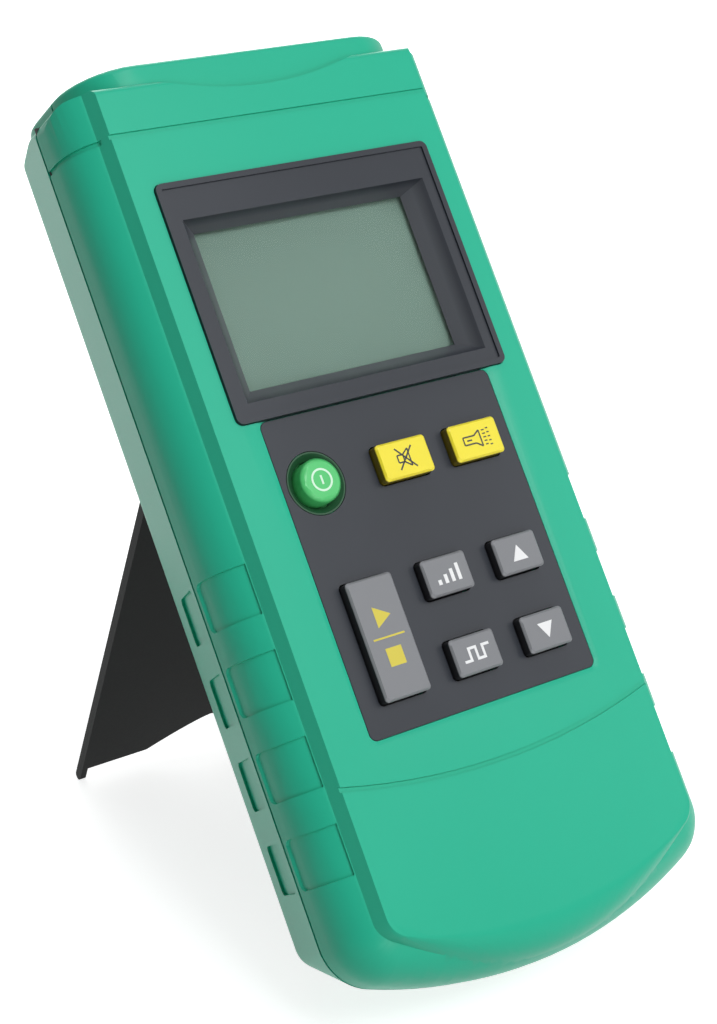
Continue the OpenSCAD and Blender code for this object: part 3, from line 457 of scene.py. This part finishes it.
def clear(name, tint, rough, ior):
    """Clear plastic: it lets light through and keeps a soft gloss, with faint haze."""
    material = plastic(name, tint, tint, rough, spread=rough * 0.4, grains=1500, bump=0.05)
    shader = material.node_tree.nodes["Principled BSDF"]
    shader.inputs["Transmission Weight"].default_value = 1
    shader.inputs["IOR"].default_value = ior
    return material


FINISHES["steel"] = metal("steel", (0.55, 0.55, 0.56), (0.6, 0.6, 0.6), 0.35)
FINISHES["plated_brass"] = metal("plated_brass", (0.72, 0.6, 0.36), (0.78, 0.66, 0.42), 0.25)
FINISHES["clear_lens"] = clear("clear_lens", (0.94, 0.95, 0.95), 0.2, LENS_IOR)
FINISHES["clear_window"] = clear("clear_window", (0.93, 0.96, 0.95), 0.03, WINDOW_IOR)
FINISHES["display_glass"] = plastic(
    "display_glass", (0.125, 0.18, 0.15), (0.14, 0.20, 0.167), 0.35, 0.04, 2000, 0.05, 0.1)
print("finishes:", sorted(FINISHES))

# %% [markdown]
# ## Smooth copies of the shown pieces
# A node's mesh is loose triangles with flat shading, which shows every facet
# of the rounded sides. Its mesh may not be changed, so a shown node gets a
# copy: its doubles are merged, its stored normals are dropped, edges sharper
# than an angle are marked, and the rest is shaded smooth. A Weighted Normal
# modifier then keeps the wide flat faces flat, so only the narrow facets blend
# into each other.

# %% Which nodes are copied
SLOT_OF = {part["node"]: part["material_slot"] for part in record["subparts"]}
BODY_OF = {
    node: body for body, members in record["behaviour"]["bodies"].items() for node in members}
SHARP_DEGREES = {
    25: ["display_frame"],
    30: ["keypad_plate", "power_key_ring", "stand", "battery_door"],
    32: ["front_shell", "rear_shell"],
    40: ["mute_key", "torch_key", "level_key", "up_key", "code_key", "down_key",
         "start_stop_key", "torch_led", "torch_lens", "red_socket_sleeve",
         "black_socket_sleeve", "red_socket_contact", "black_socket_contact"],
    65: ["power_key"],
}
SMOOTH = {node: degrees for degrees, members in SHARP_DEGREES.items() for node in members}
print("smooth copies:", len(SMOOTH), "of", len(nodes), "nodes")

# %% Dress each node
MERGE_GAP, SLIVER = 2e-6, 1e-6
FLAT_WEIGHT = 100


def smooth_copy(node, sharp_degrees):
    """A smoothly shaded piece that stands for a CAD node."""
    mesh = bpy.data.meshes.new(node + "_skin")
    bm = bmesh.new()
    bm.from_mesh(nodes[node].data)
    bmesh.ops.remove_doubles(bm, verts=bm.verts, dist=MERGE_GAP)
    bmesh.ops.dissolve_degenerate(bm, edges=bm.edges, dist=SLIVER)
    bm.to_mesh(mesh)
    bm.free()
    stored = mesh.attributes.get("custom_normal")
    if stored:
        mesh.attributes.remove(stored)
    mesh.shade_smooth()
    mesh.set_sharp_from_angle(angle=math.radians(sharp_degrees))
    piece = bpy.data.objects.new(node + "_skin", mesh)
    bpy.context.scene.collection.objects.link(piece)
    weigh = piece.modifiers.new("flat_faces_stay_flat", "WEIGHTED_NORMAL")
    weigh.keep_sharp = True
    weigh.weight = FLAT_WEIGHT
    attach(piece, BODY_OF[node])
    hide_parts(node)
    return piece


def give(obj, material):
    """Puts one material on every face of an object."""
    obj.data.materials.clear()
    obj.data.materials.append(material)


skins = {}
for node, obj in nodes.items():
    if node in SMOOTH:
        skins[node] = smooth_copy(node, SMOOTH[node])
        give(skins[node], FINISHES[SLOT_OF[node]])
    give(obj, FINISHES[SLOT_OF[node]])
print("skins:", sorted(skins))

# %% [markdown]
# ## Where the keys are
# The dish round the power key and the printed marks both need the keys' places,
# in millimetres in the housing's frame. The keys stand in three columns and
# three rows, and only the power key lies a little further out than its column.

# %% Places of the keys
KEY_X, POWER_X = 17.6, -19.9
ROW_1, ROW_2, ROW_3 = 100.3, 76.1, 59.9
POWER_FOOT = at(POWER_X, 1.0, ROW_1)
print("power key's foot:", [round(v, 4) for v in POWER_FOOT])

# %% [markdown]
# ## Painted shade and sheen
# The keys' walls stand in a narrow gap where shade falls, so painted shade makes
# them much darker than their tops, and a painted sheen makes the display's sloped
# border a little lighter than the flat frame round it. The shared depth mask
# mixes the painted colour in between two depths.

# %% Helpers for a second colour


def mix_painted_light(material, mask, colour):
    """Mixes a colour of painted light or shade over what already feeds Base Color."""
    tree = material.node_tree
    shader = tree.nodes["Principled BSDF"]
    before = shader.inputs["Base Color"].links[0].from_socket
    over = tree.nodes.new("ShaderNodeMix")
    over.data_type = "RGBA"
    tree.links.new(mask, over.inputs["Factor"])
    tree.links.new(before, over.inputs["A"])
    over.inputs["B"].default_value = (*colour, 1)
    tree.links.new(over.outputs["Result"], shader.inputs["Base Color"])
    return material


def depth_mask(material, start, end):
    """The shared depth mask, placed in one material."""
    node = material.node_tree.nodes.new("ShaderNodeGroup")
    node.node_tree = depth_group
    node.inputs["Start"].default_value = start
    node.inputs["End"].default_value = end
    return node.outputs["Mask"]


def dark_variant(name):
    """A copy of the dark plastic, for one piece with painted light of its own."""
    material = FINISHES["dark_plastic"].copy()
    material.name = name
    return material


print("helpers:", mix_painted_light.__name__, depth_mask.__name__, dark_variant.__name__)

# %% Painted shade on the key walls, painted sheen on the display border
WALL_DEPTHS, BORDER_DEPTHS = (-1.65, -1.1), (0.2, 2.0)
# Painted shade: the key walls' colours stand in for the shade in the gap round each key.
WALL_SHADES = {"grey_key_plastic": (0.010, 0.010, 0.012), "yellow_key_plastic": (0.16, 0.125, 0.008)}
# Painted sheen: the sloped border's lighter colour stands in for the light it catches.
BORDER_SHEEN = (0.075, 0.081, 0.092)
# Paints that shade onto each key's walls, darker with depth.
for slot, wall in WALL_SHADES.items():
    mix_painted_light(FINISHES[slot], depth_mask(FINISHES[slot], *WALL_DEPTHS), wall)

# The display frame gets that painted sheen on its sloped border.
frame_finish = dark_variant("display_frame_plastic")
mix_painted_light(frame_finish, depth_mask(frame_finish, *BORDER_DEPTHS), BORDER_SHEEN)
give(skins["display_frame"], frame_finish)
print("second colours by depth:", sorted(WALL_SHADES), frame_finish.name)

# %% [markdown]
# ## Torch lamp and power dish
# The torch's lamp is cast in milky resin, unlike the clear lens in front of
# it, so it gets a finish of its own. The dish round the power key gets a
# painted reflection of the key's green, which comes in by the distance from the
# key's foot: none at the outer reach, and all of it at the inner one.

# %% Torch lamp and power dish
# Painted reflection: the key's green, as the dish reflects it near the key.
DISH_REFLECTION = (0.018, 0.075, 0.033)
OUTER_REACH, INNER_REACH = 0.0082, 0.0068
milky = plastic("milky_resin", (0.80, 0.80, 0.72), (0.88, 0.88, 0.82), 0.25, 0.05, 1500, 0.05)
give(skins["torch_led"], milky)

dish_finish = dark_variant("power_dish_plastic")
dish_tree = dish_finish.node_tree
away = dish_tree.nodes.new("ShaderNodeVectorMath")
away.operation = "DISTANCE"
away.inputs[1].default_value = POWER_FOOT
coords = dish_tree.nodes.new("ShaderNodeTexCoord").outputs["Object"]
dish_tree.links.new(coords, away.inputs[0])
reflection_mask = dish_tree.nodes.new("ShaderNodeMapRange")
reflection_mask.inputs["From Min"].default_value = OUTER_REACH
reflection_mask.inputs["From Max"].default_value = INNER_REACH
dish_tree.links.new(away.outputs["Value"], reflection_mask.inputs["Value"])
# Paints the reflection in, strongest near the key's foot.
mix_painted_light(dish_finish, reflection_mask.outputs["Result"], DISH_REFLECTION)
give(skins["power_key_ring"], dish_finish)
print("torch lamp:", milky.name, "dish:", dish_finish.name)

# %% [markdown]
# ## Printed marks
# The marks on the keys are generic function symbols, printed in one colour. A
# print is a very thin raised film, so each mark is a flat outline given a
# thickness of a few hundredths of a millimetre. The outlines are drawn flat in
# millimetres, with x to the right and z up, and then set on the key's top.

# %% Inks


def ink(name, colour, shade):
    """Printing ink: a dull film with a very fine grain."""
    return plastic(name, colour, shade, 0.45, spread=0.05, grains=5000, bump=0.15)


WHITE_INK = ink("white_ink", (0.78, 0.78, 0.78), (0.85, 0.85, 0.85))
BLACK_INK = ink("black_ink", (0.012, 0.012, 0.012), (0.02, 0.02, 0.02))
YELLOW_INK = ink("yellow_ink", (0.60, 0.50, 0.04), (0.68, 0.57, 0.06))
MINT_INK = ink("mint_ink", (0.62, 0.85, 0.66), (0.7, 0.9, 0.74))
print("inks:", WHITE_INK.name, BLACK_INK.name, YELLOW_INK.name, MINT_INK.name)

# %% Helpers that draw
RING_STEPS = 48


def bar(bm, x0, z0, x1, z1, width):
    """A straight stroke between two points."""
    run = Vector((x1 - x0, 0, z1 - z0))
    upright = Matrix.Rotation(math.radians(90), 3, "X")
    slant = Matrix.Rotation(-math.atan2(run.z, run.x), 3, "Y")
    made = bmesh.ops.create_grid(bm, x_segments=1, y_segments=1, size=0.5)["verts"]
    bmesh.ops.scale(bm, vec=(run.length, width, 1), verts=made)
    bmesh.ops.rotate(bm, matrix=upright, verts=made)
    bmesh.ops.rotate(bm, matrix=slant, verts=made)
    bmesh.ops.translate(bm, vec=((x0 + x1) / 2, 0, (z0 + z1) / 2), verts=made)


def bars(bm, width, strokes):
    """Several strokes of one width."""
    for stroke in strokes:
        bar(bm, *stroke, width)


def shape(bm, corners):
    """A filled outline through a few corners."""
    bm.faces.new([bm.verts.new((x, 0, z)) for x, z in corners])


def ring(bm, radius, width):
    """A full ring: a short line across its width, spun once round."""
    edge = [bm.verts.new((0, 0, radius + side * width / 2)) for side in (-1, 1)]
    line = bm.edges.new(edge)
    bmesh.ops.spin(bm, geom=edge + [line], axis=(0, 1, 0), cent=(0, 0, 0), angle=math.tau,
                   steps=RING_STEPS, use_merge=True, use_duplicate=False)


print("ring steps:", RING_STEPS)

# %% [markdown]
# ## From a drawing to a print
# The film's thickness comes from an extrusion towards the front, before the
# mark is scaled to metres and carried to its key. The transform goes into the
# mesh, so the object itself stays at the origin as a CAD node's does.

# %% Helper that prints
FILM = 0.03


def print_mark(name, draw, place, body, material, scale=1.0):
    """Draws a mark, gives it the film's thickness and sets it on its key."""
    mesh = bpy.data.meshes.new(name)
    bm = bmesh.new()
    draw(bm)
    bmesh.ops.scale(bm, vec=(scale, 1, scale), verts=bm.verts)
    made = bmesh.ops.extrude_face_region(bm, geom=bm.faces[:])
    front = [v for v in made["geom"] if isinstance(v, bmesh.types.BMVert)]
    bmesh.ops.translate(bm, vec=(0, -FILM, 0), verts=front)
    bmesh.ops.recalc_face_normals(bm, faces=bm.faces)
    bmesh.ops.scale(bm, vec=(MM, MM, MM), verts=bm.verts)
    on_key = HOUSING @ Matrix.Translation(Vector(place) * MM)
    bmesh.ops.transform(bm, matrix=on_key, verts=bm.verts)
    bm.to_mesh(mesh)
    bm.free()
    mark = bpy.data.objects.new(name, mesh)
    bpy.context.scene.collection.objects.link(mark)
    give(mark, material)
    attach(mark, body)


print("film:", FILM, "mm")

# %% [markdown]
# ## The marks themselves
# Arrows on the up and down keys, rising bars for the level, a square wave for
# the code, a play sign over a stop sign, a crossed loudspeaker, a torch with
# its rays, and the power sign. They are drawn with strokes, each given by its
# two ends, and with small filled outlines.

# %% Drawings on the grey keys


def arrow_up(bm):
    """A triangle that points up."""
    shape(bm, [(-1.7, -1.4), (1.7, -1.4), (0, 1.5)])


def arrow_down(bm):
    """A triangle that points down."""
    shape(bm, [(-1.7, 1.4), (0, -1.5), (1.7, 1.4)])


def level_bars(bm):
    """Four bars, each higher than the one before."""
    for i in range(4):
        bar(bm, -2.4 + 1.6 * i, -1.7, -2.4 + 1.6 * i, -0.7 + 0.8 * i, 0.8)


def square_wave(bm):
    """A line that steps down, up, down and up again."""
    bars(bm, 0.55, [
        (-3.3, -1.2, -1.9, -1.2), (-1.65, -1.47, -1.65, 1.47), (-1.38, 1.2, -0.27, 1.2),
        (0, 1.47, 0, -1.47), (0.27, -1.2, 1.38, -1.2), (1.65, -1.47, 1.65, 1.47),
        (1.9, 1.2, 3.3, 1.2)])


def play_and_stop(bm):
    """A triangle over a square, with a thin line between them."""
    shape(bm, [(-1.6, 2.0), (2.0, 4.1), (-1.6, 6.2)])
    bar(bm, -3.6, 0, 3.6, 0, 0.35)
    bar(bm, -1.8, -3.9, 1.8, -3.9, 3.6)


grey_drawings = (arrow_up, arrow_down, level_bars, square_wave, play_and_stop)
print("grey keys:", [draw.__name__ for draw in grey_drawings])

# %% Drawings on the coloured keys


def crossed_speaker(bm):
    """A loudspeaker in outline: its box, its cone, and a cross over both."""
    bars(bm, 0.3, [
        (-1.9, 0.75, -0.5, 0.75), (-1.9, -0.75, -0.5, -0.75), (-1.9, -0.75, -1.9, 0.75),
        (-0.5, -0.75, -0.5, 0.75), (-0.5, 0.75, 0.9, 1.8), (-0.5, -0.75, 0.9, -1.8),
        (0.9, -1.8, 0.9, 1.8)])
    bars(bm, 0.34, [(-2.0, -2.2, 2.0, 2.2), (-2.0, 2.2, 2.0, -2.2)])


def torch_sign(bm):
    """A torch in outline, with five broken rays."""
    bars(bm, 0.32, [
        (-3.2, 0.8, -0.4, 0.8), (-3.2, -0.8, -0.4, -0.8), (-3.2, -0.8, -3.2, 0.8),
        (-0.4, 0.8, 1.0, 1.7), (-0.4, -0.8, 1.0, -1.7), (1.0, -1.7, 1.0, 1.7),
        (-2.4, 0.0, -1.2, 0.0)])
    for z in (-1.5, -0.75, 0, 0.75, 1.5):
        bars(bm, 0.26, [(1.7, z, 2.4, z), (2.8, z * 1.15, 3.4, z * 1.15)])


def power_sign(bm):
    """A ring with a short upright stroke in it."""
    ring(bm, 2.1, 0.42)
    bar(bm, 0, -0.9, 0, 0.9, 0.42)


coloured_drawings = (crossed_speaker, torch_sign, power_sign)
print("coloured keys:", [draw.__name__ for draw in coloured_drawings])

# %% [markdown]
# ## Printing
# Every key top stands equally far out of the face, and the long key spans the
# two lower rows, so its mark is centred between them. Each mark rides on its
# own key's body.

# %% Marks
TOP_Y = -1.9
LONG_KEY_Z = (ROW_2 + ROW_3) / 2
GREY, YELLOW, GREEN = "grey_key_plastic", "yellow_key_plastic", "green_key_plastic"
ARROW_SCALE = 1.1
MARKS = [
    # name, drawing, its x and z on the face, body, ink, slot and scale
    ("up_mark", arrow_up, KEY_X, ROW_2, "up_button", WHITE_INK, GREY, ARROW_SCALE),
    ("down_mark", arrow_down, KEY_X, ROW_3, "down_button", WHITE_INK, GREY, ARROW_SCALE),
    ("level_mark", level_bars, 0, ROW_2, "level_button", WHITE_INK, GREY, 1.0),
    ("code_mark", square_wave, 0, ROW_3, "code_button", WHITE_INK, GREY, 1.0),
    ("start_stop_mark", play_and_stop, -KEY_X, LONG_KEY_Z, "start_stop_button",
     YELLOW_INK, GREY, 1.0),
    ("mute_mark", crossed_speaker, 0, ROW_1, "mute_button", BLACK_INK, YELLOW, 1.0),
    ("torch_mark", torch_sign, KEY_X, ROW_1, "torch_button", BLACK_INK, YELLOW, 1.0),
    ("power_mark", power_sign, POWER_X, ROW_1, "power_button", MINT_INK, GREEN, 1.0),
]
for name, draw, x, z, body, material, slot, scale in MARKS:
    print_mark(name, draw, (x, TOP_Y, z), body, material, scale)

# %% [markdown]
# ## Finish
# The colours are meant to render about as they are written, so the view
# transform is Standard.

# %% View
bpy.context.scene.view_settings.view_transform = "Standard"
